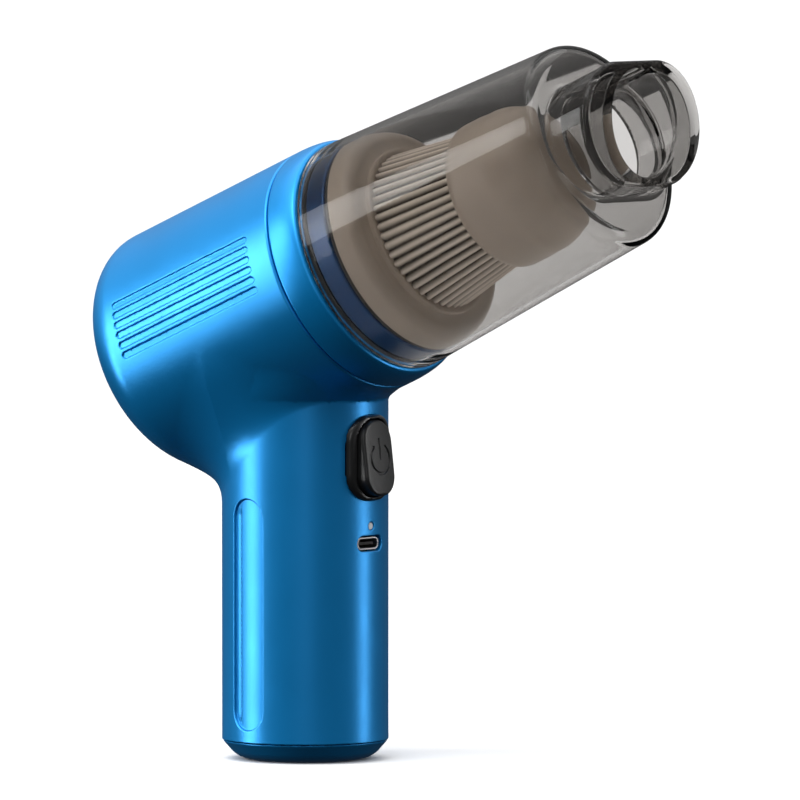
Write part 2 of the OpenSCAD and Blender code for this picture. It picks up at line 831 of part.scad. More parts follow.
// A lead of round wire through the given points
module lead(points, r) {
    for (i = [0:len(points) - 2]) let (
        a = points[i], d = points[i + 1] - a, l = norm(d), turn = atan2(d[1], d[0]), lean = acos(d[2] / l)
    ) translate(a) rotate([0, lean, turn]) cylinder(r = r, h = l);
    for (i = [1:len(points) - 2]) translate(points[i]) sphere(r = r + 0.06);
}

// Place in the row's frame of a point given in the barrel's frame
function from_barrel(p) = [
    p[2] * cos(barrel_tilt) + p[0] * sin(barrel_tilt),
    p[1],
    barrel_z + p[2] * sin(barrel_tilt) - p[0] * cos(barrel_tilt)
];

function lead_points(side) = [
    [board_x, side * 4, board_high_z - 3],
    [board_x - 6, side * 4, board_high_z - 3],
    from_barrel([can_r + 5, side * 4, can_rear_s + 12]),
    from_barrel([can_r + 5, side * 4, can_rear_s - end_cap_t - 4]),
    from_barrel([can_r * 0.6, side * 4, can_rear_s - end_cap_t - 4]),
    from_barrel([can_r * 0.6, side * 4, can_rear_s - end_cap_t])
];

module motor_lead_red() {
    color("red") lead(lead_points(1), 0.8);
}

module motor_lead_black() {
    color("black") lead(lead_points(-1), 0.8);
}

main_housing();
front_collar();
base_cover();
base_screws();
exhaust_grille();
exhaust_foam();
collar_screws();
cup_seal();
dust_cup();
filter_frame();
filter_pleats();
filter_cap();
filter_seal();
motor_mount();
motor_can();
motor_end_cap();
motor_magnets();
motor_rotor();
motor_shaft();
shaft_bushes();
motor_screws();
impeller();
fan_cover();
fan_seal();
cell_left();
cell_right();
battery_cradle();
cell_links();
circuit_board();
board_screws();
usb_shell();
usb_insert();
status_light();
power_switch();
switch_plunger();
button_bezel();
power_button();
motor_lead_red();
motor_lead_black();
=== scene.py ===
import math

import bpy
import numpy as np
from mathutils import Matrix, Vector


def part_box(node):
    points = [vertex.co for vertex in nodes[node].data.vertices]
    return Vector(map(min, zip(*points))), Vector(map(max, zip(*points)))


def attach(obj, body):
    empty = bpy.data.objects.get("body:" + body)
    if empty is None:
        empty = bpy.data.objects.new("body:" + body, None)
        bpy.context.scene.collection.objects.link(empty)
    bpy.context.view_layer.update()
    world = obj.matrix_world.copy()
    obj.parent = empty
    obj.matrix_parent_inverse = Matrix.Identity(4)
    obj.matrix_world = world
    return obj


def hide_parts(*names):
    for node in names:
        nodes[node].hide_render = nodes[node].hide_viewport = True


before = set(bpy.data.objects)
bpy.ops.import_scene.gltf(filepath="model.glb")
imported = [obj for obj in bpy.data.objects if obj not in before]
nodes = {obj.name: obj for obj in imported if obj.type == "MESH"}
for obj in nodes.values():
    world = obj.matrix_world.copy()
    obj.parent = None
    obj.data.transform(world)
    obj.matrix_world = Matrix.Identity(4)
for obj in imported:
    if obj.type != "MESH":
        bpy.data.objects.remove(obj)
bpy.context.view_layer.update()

# The housing: one moulded shell of metallic blue ABS, a tilted barrel that runs
# into an upright handle through a soft fillet behind and a web in front. It is
# skinned from one field of distances, so that its fillets and edges are smooth.
barrel_tilt = math.radians(23)
barrel_z = 0.1232
barrel_r = 0.0337
wall = 0.0022
rear_s = -0.0546
rear_round = (0.0194, 0.0138)
grille_hole_r = 0.0133
joint_s = 0.0177
joint_ease, joint_gap = 0.0006, 0.0004
collar_front_s = 0.0267
collar_drop = 0.0014
handle_r = 0.022
base_h = 0.0052
web_low, web_rise, web_reach = 0.0955, 0.012, 0.0145
fillet_rear, fillet_front, fillet_from_x, fillet_fade = 0.0125, 0.0012, -0.010, 0.4
flutes = 6
flute_pitch, flute_mid = math.radians(4.85), math.radians(9.1)
flute_mid_s, flute_len, flute_w, flute_depth = -0.0142, 0.049, 0.0022, 0.0005
grip_z, grip_len, grip_w, grip_depth, grip_turn = 0.039, 0.061, 0.0105, 0.0008, math.radians(97)
front_pieces = ("button_bezel", "usb_shell", "status_light")
button_z, port_z, light_z = [sum(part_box(node), Vector())[2] / 2 for node in front_pieces]
bezel_hole = (0.0148, 0.0225, 0.0065)
port_hole, light_hole_r = (0.0104, 0.0041, 0.00205), 0.00105
along = np.array([math.cos(barrel_tilt), 0, math.sin(barrel_tilt)])
below = np.array([math.sin(barrel_tilt), 0, -math.cos(barrel_tilt)])


def in_barrel(p):
    """How far points are along the barrel's axis, below it and beside it."""
    q = p - [0, 0, barrel_z]
    return q @ along, q @ below, q[:, 1]


def joined(a, b, r):
    """Both solids, with a fillet of radius r where they meet."""
    return np.maximum(r, np.minimum(a, b)) - np.hypot(np.maximum(r - a, 0), np.maximum(r - b, 0))


def common(a, b, r):
    """Only what is in both solids, with its new edges rounded to r."""
    return np.minimum(-r, np.maximum(a, b)) + np.hypot(np.maximum(r + a, 0), np.maximum(r + b, 0))


def round_cornered(u, v, w, h, r):
    """Distance from a rectangle with round corners."""
    a, b = np.abs(u) - w / 2 + r, np.abs(v) - h / 2 + r
    return np.hypot(np.maximum(a, 0), np.maximum(b, 0)) + np.minimum(np.maximum(a, b), 0) - r


def barrel(s, r, inset):
    """Distance from the barrel with its rounded rear, inset by a wall."""
    rx, rs = rear_round[0] - inset, rear_round[1] - inset
    narrowing = collar_drop * (1 - np.sqrt(1 - np.clip((s - joint_s - 0.001) / 0.008, 0, 1) ** 2))
    side = r - barrel_r + inset + (narrowing if inset == 0 else 0)
    out, back = r - barrel_r + rear_round[0], rear_s + rear_round[1] - s
    k0 = np.hypot(out / rx, back / rs)
    k1 = np.hypot(out / rx**2, back / rs**2) + 1e-9
    corner = k0 * (k0 - 1) / k1
    flat = back - rs
    return np.where((out > 0) & (back > 0), corner, np.maximum(side, flat))


def body(p):
    """Distance from the outside of the housing and the collar together."""
    s, down, side = in_barrel(p)
    tube = barrel(s, np.hypot(down, side), 0)
    x, y, z = p.T
    handle = np.hypot(x, y) - handle_r
    shift = web_reach * np.clip((z - web_low) / web_rise, 0, 1)
    web = np.maximum(np.hypot(x - shift, y) - handle_r, web_low - z)
    handle = np.maximum(np.minimum(handle, web), z - barrel_z)
    fillet = np.clip(fillet_rear - (x - fillet_from_x) * fillet_fade, fillet_front, fillet_rear)
    return joined(tube, handle, fillet)


def flute_edge(s, down, side):
    """Distance from the outline of the nearest flute, unrolled off the barrel."""
    up = (np.arctan2(-down, np.abs(side)) - flute_mid) / flute_pitch
    half = (flutes - 1) / 2
    nearest = np.clip(np.round(up + half), 0, flutes - 1) - half
    u = (up - nearest) * flute_pitch * barrel_r
    v = np.maximum(np.abs(s - flute_mid_s) - (flute_len - flute_w) / 2, 0)
    return np.hypot(u, v) - flute_w / 2


def grip_edge(p):
    """Distance from the outline of the grip recess, unrolled off the handle."""
    turn = np.abs(np.arctan2(p[:, 1], p[:, 0])) - grip_turn
    v = np.maximum(np.abs(p[:, 2] - grip_z) - (grip_len - grip_w) / 2, 0)
    return np.hypot(turn * handle_r, v) - grip_w / 2


def front_edge(p):
    """Distance from the outlines of the openings in the handle's front."""
    y, z = p[:, 1], p[:, 2]
    holes = np.minimum(
        round_cornered(y, z - button_z, *bezel_hole), round_cornered(y, z - port_z, *port_hole)
    )
    return np.minimum(holes, np.hypot(y, z - light_z) - light_hole_r)


def fluted_body(p):
    s, down, side = in_barrel(p)
    dip = np.clip(-flute_edge(s, down, side) / 0.0004, 0, 1)
    return body(p) + flute_depth * dip**2 * (3 - 2 * dip)


def housing(p):
    s, down, side = in_barrel(p)
    handle_out = np.hypot(p[:, 0], p[:, 1])
    shell = common(fluted_body(p), s - joint_s + joint_gap / 2, joint_ease)
    shell = common(shell, base_h - p[:, 2], 0.0002)
    shell = common(shell, -np.maximum(grip_edge(p), handle_r - grip_depth - handle_out), 0.0003)
    grip_hollow = np.maximum(handle_out - handle_r + wall, p[:, 2] - barrel_z)
    hollow = np.minimum(barrel(s, np.hypot(down, side), wall), grip_hollow)
    shell = np.maximum(shell, -hollow)
    front = np.maximum(front_edge(p), -p[:, 0])
    shell = common(shell, -front, 0.0003)
    return common(shell, -np.maximum(np.hypot(down, side) - grille_hole_r, s), 0.0004)


def net(field, lo, hi, step):
    """A closed net of triangles over the places where a field is nought."""
    counts = [int(math.ceil((b - a) / step)) + 1 for a, b in zip(lo, hi)]
    lines = [a + step * np.arange(n) for a, n in zip(lo, counts)]
    grid = np.stack(np.meshgrid(*lines, indexing="ij"), -1)
    value = field(grid.reshape(-1, 3)).reshape(counts)
    cells = [n - 1 for n in counts]
    total, hits, rings = np.zeros(cells + [3]), np.zeros(cells), []

    def part(n, axis, cut):
        return tuple(cut if i == axis else slice(None) for i in range(n))

    for a in range(3):
        b, c = (a + 1) % 3, (a + 2) % 3
        v0, v1 = value[part(3, a, slice(None, -1))], value[part(3, a, slice(1, None))]
        cross = (v0 < 0) != (v1 < 0)
        t = np.where(cross, v0 / np.where(cross, v0 - v1, 1), 0)
        at = grid[part(4, a, slice(None, -1))].copy()
        at[..., a] += t * step
        at *= cross[..., None]
        for cut_b in (slice(None, -1), slice(1, None)):
            for cut_c in (slice(None, -1), slice(1, None)):
                pick = tuple({a: slice(None), b: cut_b, c: cut_c}[i] for i in range(3))
                total += at[pick]
                hits += cross[pick]
        inner = tuple(slice(None) if i == a else slice(1, -1) for i in range(3))
        where = np.argwhere(cross[inner])
        where[:, b] += 1
        where[:, c] += 1
        outward = v0[tuple(where.T)] < 0
        ring = []
        for db, dc in ((-1, -1), (0, -1), (0, 0), (-1, 0)):
            cell = where.copy()
            cell[:, b] += db
            cell[:, c] += dc
            ring.append(np.ravel_multi_index(cell.T, cells))
        ring = np.stack(ring, 1)
        ring[~outward] = ring[~outward, ::-1]
        rings.append(ring)
    used = hits.reshape(-1) > 0
    number = np.cumsum(used) - 1
    verts = total.reshape(-1, 3)[used] / hits.reshape(-1)[used, None]
    quads = number[np.vstack(rings)]
    verts = settled(field, verts, step)
    across = np.linalg.norm(verts[quads[:, 0]] - verts[quads[:, 2]], axis=1)
    other = np.linalg.norm(verts[quads[:, 1]] - verts[quads[:, 3]], axis=1)
    turned = np.where((across < other)[:, None], quads, np.roll(quads, -1, 1))
    return verts, np.vstack([turned[:, [0, 1, 2]], turned[:, [0, 2, 3]]])


def slope(field, p, h=0.00003):
    """Direction in which a field grows, found by stepping each way."""
    steps = [field(p + h * np.eye(3)[i]) - field(p - h * np.eye(3)[i]) for i in range(3)]
    return np.stack(steps, 1) / (2 * h)


def settled(field, p, reach, rounds=3):
    """Points moved onto the surface, each by no more than reach."""
    for _ in range(rounds):
        g = slope(field, p)
        move = -field(p)[:, None] * g / (np.sum(g * g, 1)[:, None] + 0.05)
        far = np.linalg.norm(move, axis=1)[:, None]
        p = p + move * np.minimum(1, reach / 2 / (far + 1e-12))
    return p


def divided(verts, tris, longest, field):
    """Cuts triangles until no edge is longer than longest says it may be."""
    for _ in range(6):
        pairs = np.sort(tris[:, [0, 1, 1, 2, 2, 0]].reshape(-1, 2), axis=1)
        codes, back = np.unique(pairs[:, 0] * len(verts) + pairs[:, 1], return_inverse=True)
        back = back.reshape(-1, 3)
        ends = np.stack([codes // len(verts), codes % len(verts)], 1)
        middle = verts[ends].mean(axis=1)
        length = np.linalg.norm(verts[ends[:, 0]] - verts[ends[:, 1]], axis=1)
        cut = length > longest(middle)
        if not cut.any():
            break
        first = np.argmax(length[back], axis=1)
        while True:
            touched = cut[back].any(axis=1)
            more = back[touched, first[touched]]
            if cut[more].all():
                break
            cut[more] = True
        added = np.full(len(codes), -1)
        added[cut] = len(verts) + np.arange(cut.sum())
        verts = np.vstack([verts, settled(field, middle[cut], 0.0006, 2)])
        order = (first[:, None] + np.arange(3)) % 3
        corner = np.take_along_axis(tris, order, 1)
        mid = added[np.take_along_axis(back, order, 1)]
        a, b, c, ab, bc, ca = *corner.T, *mid.T
        kinds = [
            (ab < 0, [(a, b, c)]),
            ((ab >= 0) & (bc < 0) & (ca < 0), [(a, ab, c), (ab, b, c)]),
            ((ab >= 0) & (bc >= 0) & (ca < 0), [(a, ab, c), (ab, b, bc), (ab, bc, c)]),
            ((ab >= 0) & (bc < 0) & (ca >= 0), [(a, ab, ca), (ab, b, c), (ab, c, ca)]),
            ((ab >= 0) & (bc >= 0) & (ca >= 0), [(a, ab, ca), (ab, b, bc), (bc, c, ca), (ab, bc, ca)]),
        ]
        tris = np.vstack([np.stack(t, 1)[pick] for pick, made in kinds for t in made])
    return verts, tris


def shown(name, verts, faces, material, node, body_name, slot):
    """Makes a mesh object that stands for a CAD node and rides on its body."""
    mesh = bpy.data.meshes.new(name)
    mesh.from_pydata(verts.tolist(), [], faces.tolist() if hasattr(faces, "tolist") else faces)
    mesh.shade_smooth()
    made = bpy.data.objects.new(name, mesh)
    bpy.context.scene.collection.objects.link(made)
    mesh.materials.append(material)
    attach(made, body_name)
    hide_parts(node)
    return made


def skinned(name, field, node, step, longest, material, body_name, slot):
    """A piece whose mesh follows a field, with its normals taken from the field."""
    lo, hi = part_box(node)
    verts, tris = net(field, [v - 0.003 for v in lo], [v + 0.003 for v in hi], step)
    verts, tris = divided(verts, tris, longest, field)
    made = shown(name, verts, tris, material, node, body_name, slot)
    normal = slope(field, verts)
    normal /= np.linalg.norm(normal, axis=1)[:, None] + 1e-12
    made.data.normals_split_custom_set_from_vertices(normal.tolist())
    made.cycles.shadow_terminator_geometry_offset = 0.3
    return made


class Wire:
    """An output in a material's nodes. Sums on it add Math nodes."""

    def __init__(self, tree, socket):
        self.tree, self.socket = tree, socket

    def node(self, kind, settings, sockets, out=0):
        made = self.tree.nodes.new("ShaderNode" + kind)
        for name, value in settings.items():
            if name == "stops":
                for i, (place, grey) in enumerate(value):
                    stop = made.color_ramp.elements[i] if i < 2 else made.color_ramp.elements.new(place)
                    stop.position, stop.color = place, (grey, grey, grey, 1)
            else:
                setattr(made, name, value)
        for name, value in sockets.items():
            if isinstance(value, Wire):
                self.tree.links.new(value.socket, made.inputs[name])
            else:
                made.inputs[name].default_value = value
        return Wire(self.tree, made.outputs[out])

    def sum(self, operation, a, b):
        return self.node("Math", {"operation": operation}, {0: a, 1: b})

    def __add__(self, other):
        return self.sum("ADD", self, other)

    def __radd__(self, other):
        return self.sum("ADD", other, self)

    def __sub__(self, other):
        return self.sum("SUBTRACT", self, other)

    def __rsub__(self, other):
        return self.sum("SUBTRACT", other, self)

    def __mul__(self, other):
        return self.sum("MULTIPLY", self, other)

    def __rmul__(self, other):
        return self.sum("MULTIPLY", other, self)

    def __pow__(self, other):
        return self.sum("POWER", self, other)

    def noise(self, size, detail=3.0):
        """Cloudy values round a half, with clouds of about the given size."""
        return self.node("TexNoise", {}, {"Vector": self, "Scale": 1 / size, "Detail": detail})

    def tinted(self, dark, light):
        """A colour between two, picked by this value."""
        return self.node(
            "Mix", {"data_type": "RGBA"}, {0: self, 6: (*dark, 1), 7: (*light, 1)}, out=2
        )

    def into(self, shader, name):
        self.tree.links.new(self.socket, shader.inputs[name])

    def bumped(self, shader, height):
        """Feeds this value to the shader's normal as bumps of a height in metres."""
        bump = self.node("Bump", {}, {"Height": self, "Distance": height, "Strength": 1.0})
        bump.into(shader, "Normal")


def finish(name, **fixed):
    """A new material, its shader with the fixed sockets set, and its place."""
    made = bpy.data.materials.new(name)
    made.use_nodes = True
    shader = made.node_tree.nodes["Principled BSDF"]
    for socket, value in fixed.items():
        shader.inputs[socket.replace("_", " ")].default_value = value
    place = made.node_tree.nodes.new("ShaderNodeTexCoord")
    return made, shader, Wire(made.node_tree, place.outputs["Object"])


def axis_place(place):
    """How far a point is along the barrel's axis."""
    split = {name: place.node("SeparateXYZ", {}, {"Vector": place}, out=name) for name in "XZ"}
    return split["X"] * math.cos(barrel_tilt) + (split["Z"] - barrel_z) * math.sin(barrel_tilt)


def axis_radius(place):
    """How far a point is from the barrel's axis."""
    split = {name: place.node("SeparateXYZ", {}, {"Vector": place}, out=name) for name in "XYZ"}
    down = split["X"] * math.sin(barrel_tilt) - (split["Z"] - barrel_z) * math.cos(barrel_tilt)
    return (down * down + split["Y"] * split["Y"]) ** 0.5


def moulded(name, colour, shine, grain=0.00004, **fixed):
    """Moulded plastic: faint clouds in its colour, fine grain, and rubbed places."""
    made, shader, place = finish(name, **fixed)
    clouds = place.noise(0.03)
    clouds.tinted([v * 0.96 for v in colour], [min(1, v * 1.04) for v in colour]).into(shader, "Base Color")
    rubbed = place.noise(0.012, 5.0)
    (shine + (rubbed - 0.5) * 0.12 + (place.noise(0.0009, 2.0) - 0.5) * 0.06).into(shader, "Roughness")
    place.noise(0.0005, 2.0).bumped(shader, grain)
    return made


shell_blue, shell_grain = (0.0, 0.265, 0.68), 0.000012
blue = moulded("blue_abs", shell_blue, 0.38, shell_grain, Metallic=0.6, Coat_Weight=0.25, Coat_Roughness=0.34)


def housing_edges(p):
    s, down, side = in_barrel(p)
    outside = np.abs(body(p)) < 0.0012
    on_barrel = np.hypot(down, side) > barrel_r - 0.0015
    size = np.full(len(p), 0.003)
    size[outside & (np.abs(p[:, 2] - 0.09) < 0.013) & (np.abs(p[:, 0]) < 0.03)] = 0.001
    size[outside & (np.abs(s - joint_s) < 0.0012)] = 0.0006
    size[outside & on_barrel & (np.abs(flute_edge(s, down, side)) < 0.0006) & (s < 0.013)] = 0.0005
    on_handle = outside & (np.hypot(p[:, 0], p[:, 1]) > handle_r - 0.0015) & (p[:, 2] < 0.1)
    size[on_handle & (np.abs(grip_edge(p)) < 0.0009)] = 0.00045
    size[on_handle & (p[:, 0] > 0) & (np.abs(front_edge(p)) < 0.0007)] = 0.0004
    size[(np.abs(np.hypot(down, side) - grille_hole_r) < 0.0008) & (s < -0.05)] = 0.0005
    size[on_handle & (np.abs(p[:, 2] - base_h) < 0.0006)] = 0.0005
    return size


skinned("housing_shell", housing, "main_housing", 0.00125, housing_edges, blue, "body", "blue_shell")

# The front collar: the same blue ABS, set into the housing's front behind a
# fine groove. It carries the bulkhead with its air openings, and its spigot,
# which the dust cup pushes over, is painted a deeper blue: painted shade for
# the dimming seen through the smoky cup.
spigot_r, spigot_in_r, spigot_s = 0.0297, 0.0275, 0.0346
bulkhead_low, bulkhead_high, air_r, bar_w = 0.022, 0.0245, 0.018, 0.002
sleeve_r, sleeve_s = 0.03135, 0.0127
seal_low, seal_high, seal_in_r = 0.0272, 0.0286, 0.0286
screw_ring_r, screw_hole_r = 0.02476, 0.0015
screw_turns = [math.radians(turn) for turn in (60, 180, 300)]


def collar(p):
    s, down, side = in_barrel(p)
    r = np.hypot(down, side)
    ring = common(common(body(p), joint_s + joint_gap / 2 - s, joint_ease), s - collar_front_s, 0.0005)
    sleeve = np.maximum(r - sleeve_r, np.maximum(sleeve_s - s, s - bulkhead_low))
    spigot = common(r - spigot_r, s - spigot_s, 0.0006)
    spigot = np.maximum(spigot, joint_s - s)
    solid = np.minimum(joined(ring, spigot, 0.0003), sleeve)
    behind = np.maximum(r - sleeve_r + 0.002, s - bulkhead_low)
    ahead = np.maximum(r - spigot_in_r, bulkhead_high - s)
    bars = np.minimum(np.minimum(np.abs(down), np.abs(side)) - bar_w / 2, np.abs(r - air_r / 2) - 0.001)
    air = common(r - air_r, -bars, 0.0004)
    groove = np.maximum(np.maximum(seal_low - s, s - seal_high), seal_in_r - r)
    solid = common(solid, -np.minimum(behind, ahead), 0.0003)
    solid = common(solid, -air, 0.0003)
    for turn in screw_turns:
        low, out = screw_ring_r * math.cos(turn), screw_ring_r * math.sin(turn)
        hole = np.hypot(down - low, side - out) - screw_hole_r
        solid = np.maximum(solid, -hole)
    return common(solid, -groove, 0.0002)


def collar_edges(p):
    s, down, side = in_barrel(p)
    r = np.hypot(down, side)
    size = np.full(len(p), 0.003)
    size[(r > 0.03) & (np.abs(s - joint_s) < 0.001)] = 0.0005
    size[(r > 0.0285) & (np.abs(s - collar_front_s) < 0.001)] = 0.0005
    size[(np.abs(s - spigot_s) < 0.0008) | ((np.abs(r - air_r) < 0.0008) & (s > 0.0215))] = 0.0005
    size[(r > 0.028) & ((np.abs(s - seal_low) < 0.0005) | (np.abs(s - seal_high) < 0.0005))] = 0.0005
    size[(r < air_r) & (s > 0.0215) & (s < 0.025)] = 0.0006
    return size


spigot_blue, shader, place = finish("spigot_abs", Metallic=0.6, Coat_Weight=0.15, Coat_Roughness=0.3)
# Painted shade: ahead of the collar's front the spigot's blue is ramped to a dark navy, standing for the dimming
# seen through the smoky cup.
painted_shade_blue, shade_rise, shade_start = (0.0, 0.035, 0.12), 3000, 0.2
ahead = axis_place(place) - collar_front_s
painted_shade_ramp = place.node("ValToRGB", {"stops": [(0.0, 0), (1.0, 1)]}, {"Fac": ahead * shade_rise - shade_start})
painted_shade_ramp.tinted(shell_blue, painted_shade_blue).into(shader, "Base Color")
(0.38 + (place.noise(0.012, 5.0) - 0.5) * 0.12).into(shader, "Roughness")
place.noise(0.0005, 2.0).bumped(shader, shell_grain)
skinned("collar_shell", collar, "front_collar", 0.0009, collar_edges, spigot_blue, "body", "blue_shell")

# The base cover: a blue ABS plug pressed into the foot of the handle and held
# by two screws, with a wide chamfer that the vacuum stands on.
base_low_r, base_low_z = 0.0184, 0.0011
screw_x, head_well_r, head_well_z = 0.0125, 0.0026, 0.0016


def base(p):
    x, y, z = p.T
    r = np.hypot(x, y)
    steep = (r - handle_r + (base_h - z) * 0.88) / math.hypot(1, 0.88)
    shallow = (r - base_low_r) * 0.32 - (z - base_low_z) * 0.95
    solid = common(common(steep, shallow, 0.0008), r - handle_r, 0.0006)
    solid = common(common(solid, -z, 0.0006), z - base_h + 0.0001, 0.0003)
    plug = np.maximum(r - 0.01965, np.abs(z - 0.006) - 0.0034)
    solid = np.maximum(np.minimum(solid, plug), -np.maximum(r - 0.0175, 0.0026 - z))
    for side in (-1, 1):
        from_screw = np.hypot(x - side * screw_x, y)
        boss = np.maximum(from_screw - 0.0028, np.maximum(0.0025 - z, z - base_h - 0.0034))
        solid = np.minimum(solid, boss)
        solid = np.maximum(solid, 0.0015 - from_screw)
        solid = common(solid, -np.maximum(from_screw - head_well_r, z - head_well_z), 0.0002)
    return solid


def base_edges(p):
    r = np.hypot(p[:, 0], p[:, 1])
    size = np.full(len(p), 0.003)
    size[(r > 0.0135) & (p[:, 2] < 0.0058)] = 0.0007
    size[(np.hypot(np.abs(p[:, 0]) - screw_x, p[:, 1]) < 0.0034) & (p[:, 2] < 0.003)] = 0.0005
    return size


skinned("base_plug", base, "base_cover", 0.0008, base_edges, blue, "body", "blue_shell")

# The dust cup: a smoky clear polycarbonate moulding that pushes over the
# collar's spigot. Its flat front runs into a racetrack neck, cored out beside
# its round inlet tube, and the mouth is cut back behind a thick rounded lip.
cup_rim_s, cup_rim_r, cup_front_s, cup_front_r = 0.027, 0.032, 0.1066, 0.028
cup_round, cup_wall, tube_wall, socket_end_s = 0.0036, 0.0018, 0.0018, 0.0349
nozzle_w, nozzle_h, inlet_r = 0.0488, 0.031, 0.0136
mouth_s, mouth_tilt, lip_t, lip_out = 0.12, math.radians(16), 0.0026, 0.0005
pocket_s, pocket_r, pocket_mid, pocket_half = 0.114, 0.0141, math.radians(24.5), math.radians(47.5)


def in_mouth(s, down):
    """How far points are out of the mouth and below its middle."""
    c, d = math.cos(mouth_tilt), math.sin(mouth_tilt)
    return down * d + (s - mouth_s) * c, down * c - (s - mouth_s) * d


def mouth_cut(s, down, side):
    """Distance from the round inlet and the pocket in one side of it."""
    r = np.hypot(down, side)
    inlet = np.maximum(r - inlet_r, 0.0966 - s)
    turn = np.abs(np.arctan2(-down, side) - pocket_mid) - pocket_half
    pocket = common(common(r - pocket_r, turn * inlet_r, 0.0004), pocket_s - s, 0.0002)
    return np.minimum(inlet, pocket)


def cup(p):
    s, down, side = in_barrel(p)
    r = np.hypot(down, side)
    taper = np.clip((s - cup_rim_s) / (cup_front_s - cup_round - cup_rim_s), 0, 1.2)
    shell = common(r - cup_rim_r + (cup_rim_r - cup_front_r) * taper, s - cup_front_s, cup_round)
    out, low = in_mouth(s, down)
    neck = round_cornered(side, down, nozzle_w, nozzle_h, nozzle_h / 2)
    neck = np.maximum(neck, np.maximum(out + lip_t / 2, cup_front_s - cup_round - s))
    lip = round_cornered(side, low, nozzle_w + 2 * lip_out, nozzle_h + 2 * lip_out, nozzle_h / 2 + lip_out)
    lip = common(lip, np.abs(out + lip_t / 2) - lip_t / 2, 0.00125)
    solid = joined(joined(shell, neck, 0.0016), lip, 0.0003)
    solid = common(solid, cup_rim_s - s, 0.0003)
    share = (s - socket_end_s) / (cup_front_s - cup_round - socket_end_s)
    narrow = np.where(s < socket_end_s, 0, (cup_rim_r - cup_front_r) * share)
    hollow = common(r - cup_rim_r + cup_wall + narrow, s - cup_front_s + cup_wall, cup_wall)
    core_w, core_h = nozzle_w - 2 * cup_wall, nozzle_h - 2 * cup_wall
    core = round_cornered(side, down, core_w, core_h, core_h / 2)
    core = common(common(core, inlet_r + tube_wall - r, 0.0005), out + lip_t, 0.0006)
    core = np.maximum(core, cup_front_s - 2 * cup_wall - s)
    solid = np.maximum(solid, -np.minimum(hollow, core))
    return common(solid, -mouth_cut(s, down, side), 0.0007)


def cup_edges(p):
    s, down, side = in_barrel(p)
    out, low = in_mouth(s, down)
    size = np.full(len(p), 0.003)
    size[(np.abs(out + lip_t / 2) < 0.0022) & (s > cup_front_s)] = 0.0006
    size[(s > 0.1045) & (s < 0.1095)] = 0.0007
    size[(s > 0.1125) & (s < 0.1155) & (np.hypot(down, side) < 0.0155)] = 0.0004
    size[(np.abs(s - cup_rim_s) < 0.001)] = 0.0006
    return size


smoky, shader, place = finish("smoky_polycarbonate", Transmission_Weight=1.0, IOR=1.2, Specular_IOR_Level=0.3)
thick_s, thick_over = 0.1, 0.00625
forward = (axis_place(place) - thick_s) * (1 / thick_over)
thick = place.node("ValToRGB", {"stops": [(0.0, 0), (1.0, 1)]}, {"Fac": forward})
smoke = thick * 0.8 + place.noise(0.02) * 0.2
smoke.tinted((0.8, 0.79, 0.78), (0.6, 0.59, 0.58)).into(shader, "Base Color")
(0.015 + place.noise(0.01) * 0.02).into(shader, "Roughness")
depth = place.node("VolumeAbsorption", {}, {"Color": (0.36, 0.345, 0.33, 1), "Density": 190.0})
place.tree.links.new(depth.socket, place.tree.nodes["Material Output"].inputs["Volume"])
skinned("cup_shell", cup, "dust_cup", 0.00075, cup_edges, smoky, "cup", "smoke_clear")

# The filter's frame: a grey-brown moulded skirt with a step at its front, from
# which the pleats come. It sits on a soft seal against the spigot.
frame_s, frame_r, frame_front_s = 0.0357, 0.0296, 0.0447
pleat_s, pleat_end_s, pleat_rear_r, pleat_front_r = 0.0442, 0.0677, 0.0218, 0.0182
pleat_depth, pleats = 0.0014, 50
frame_bore_r = 0.018


def arc(s, r, along_by, out_by, start, end, steps=10):
    """Points of a profile on part of an ellipse, with angles from the front."""
    turns = [math.radians(start + (end - start) * i / steps) for i in range(steps + 1)]
    return [(s + along_by * math.cos(t), r + out_by * math.sin(t)) for t in turns]


def placed(s, r, turn):
    """Points in space for places along, out from and round the barrel's axis."""
    s, r, turn = np.broadcast_arrays(s, r, turn)
    spin = np.cos(turn)[..., None] * below + np.sin(turn)[..., None] * [0, 1, 0]
    return np.array([0, 0, barrel_z]) + s[..., None] * along + r[..., None] * spin


def spun(profile, around=144, wave=None):
    """A solid turned on the barrel's axis from a closed profile, as a grid."""
    s, r = np.array(profile).T
    turn = np.linspace(0, 2 * math.pi, around, endpoint=False)
    radius = np.broadcast_to(r[:, None], (len(r), around))
    if wave is not None:
        radius = radius + wave(s[:, None], r[:, None], turn[None, :])
    verts = placed(s[:, None], radius, turn[None, :]).reshape(-1, 3)
    i, j = np.meshgrid(np.arange(len(s)), np.arange(around), indexing="ij")
    n, m = (i + 1) % len(s), (j + 1) % around
    quads = np.stack([i * around + j, n * around + j, n * around + m, i * around + m], -1)
    return verts, quads.reshape(-1, 4)


def turned(name, profile, material, node, body_name, slot, around=144, wave=None, crease=40):
    made = shown(name, *spun(profile, around, wave), material, node, body_name, slot)
    made.data.set_sharp_from_angle(angle=math.radians(crease))
    return made


frame_grey = moulded("filter_frame_plastic", (0.34, 0.28, 0.225), 0.4)
turned(
    "filter_skirt",
    [
        (frame_front_s, frame_bore_r),
        (frame_s, frame_bore_r),
        (frame_s, frame_r - 0.0005),
        (frame_s + 0.0004, frame_r),
        *arc(0.0402, frame_r - 0.0035, 0.0032, 0.0035, 90, 0)[1:],
        (0.0434, 0.0236),
        (0.0436, 0.0232),
        (0.0449, 0.0232),
        (0.045, 0.023),
        (0.045, 0.0222),
        (frame_front_s, 0.0215),
    ],
    frame_grey, "filter_frame", "filter", "filter_plastic",
)

# The pleats: fifty folds of brown-grey filter paper glued between the skirt
# and the cap, each fold a little uneven and rounded at its crest. The paper's
# colour is painted near black down in the folds: painted shade in the valleys.
pleat_steps = 24


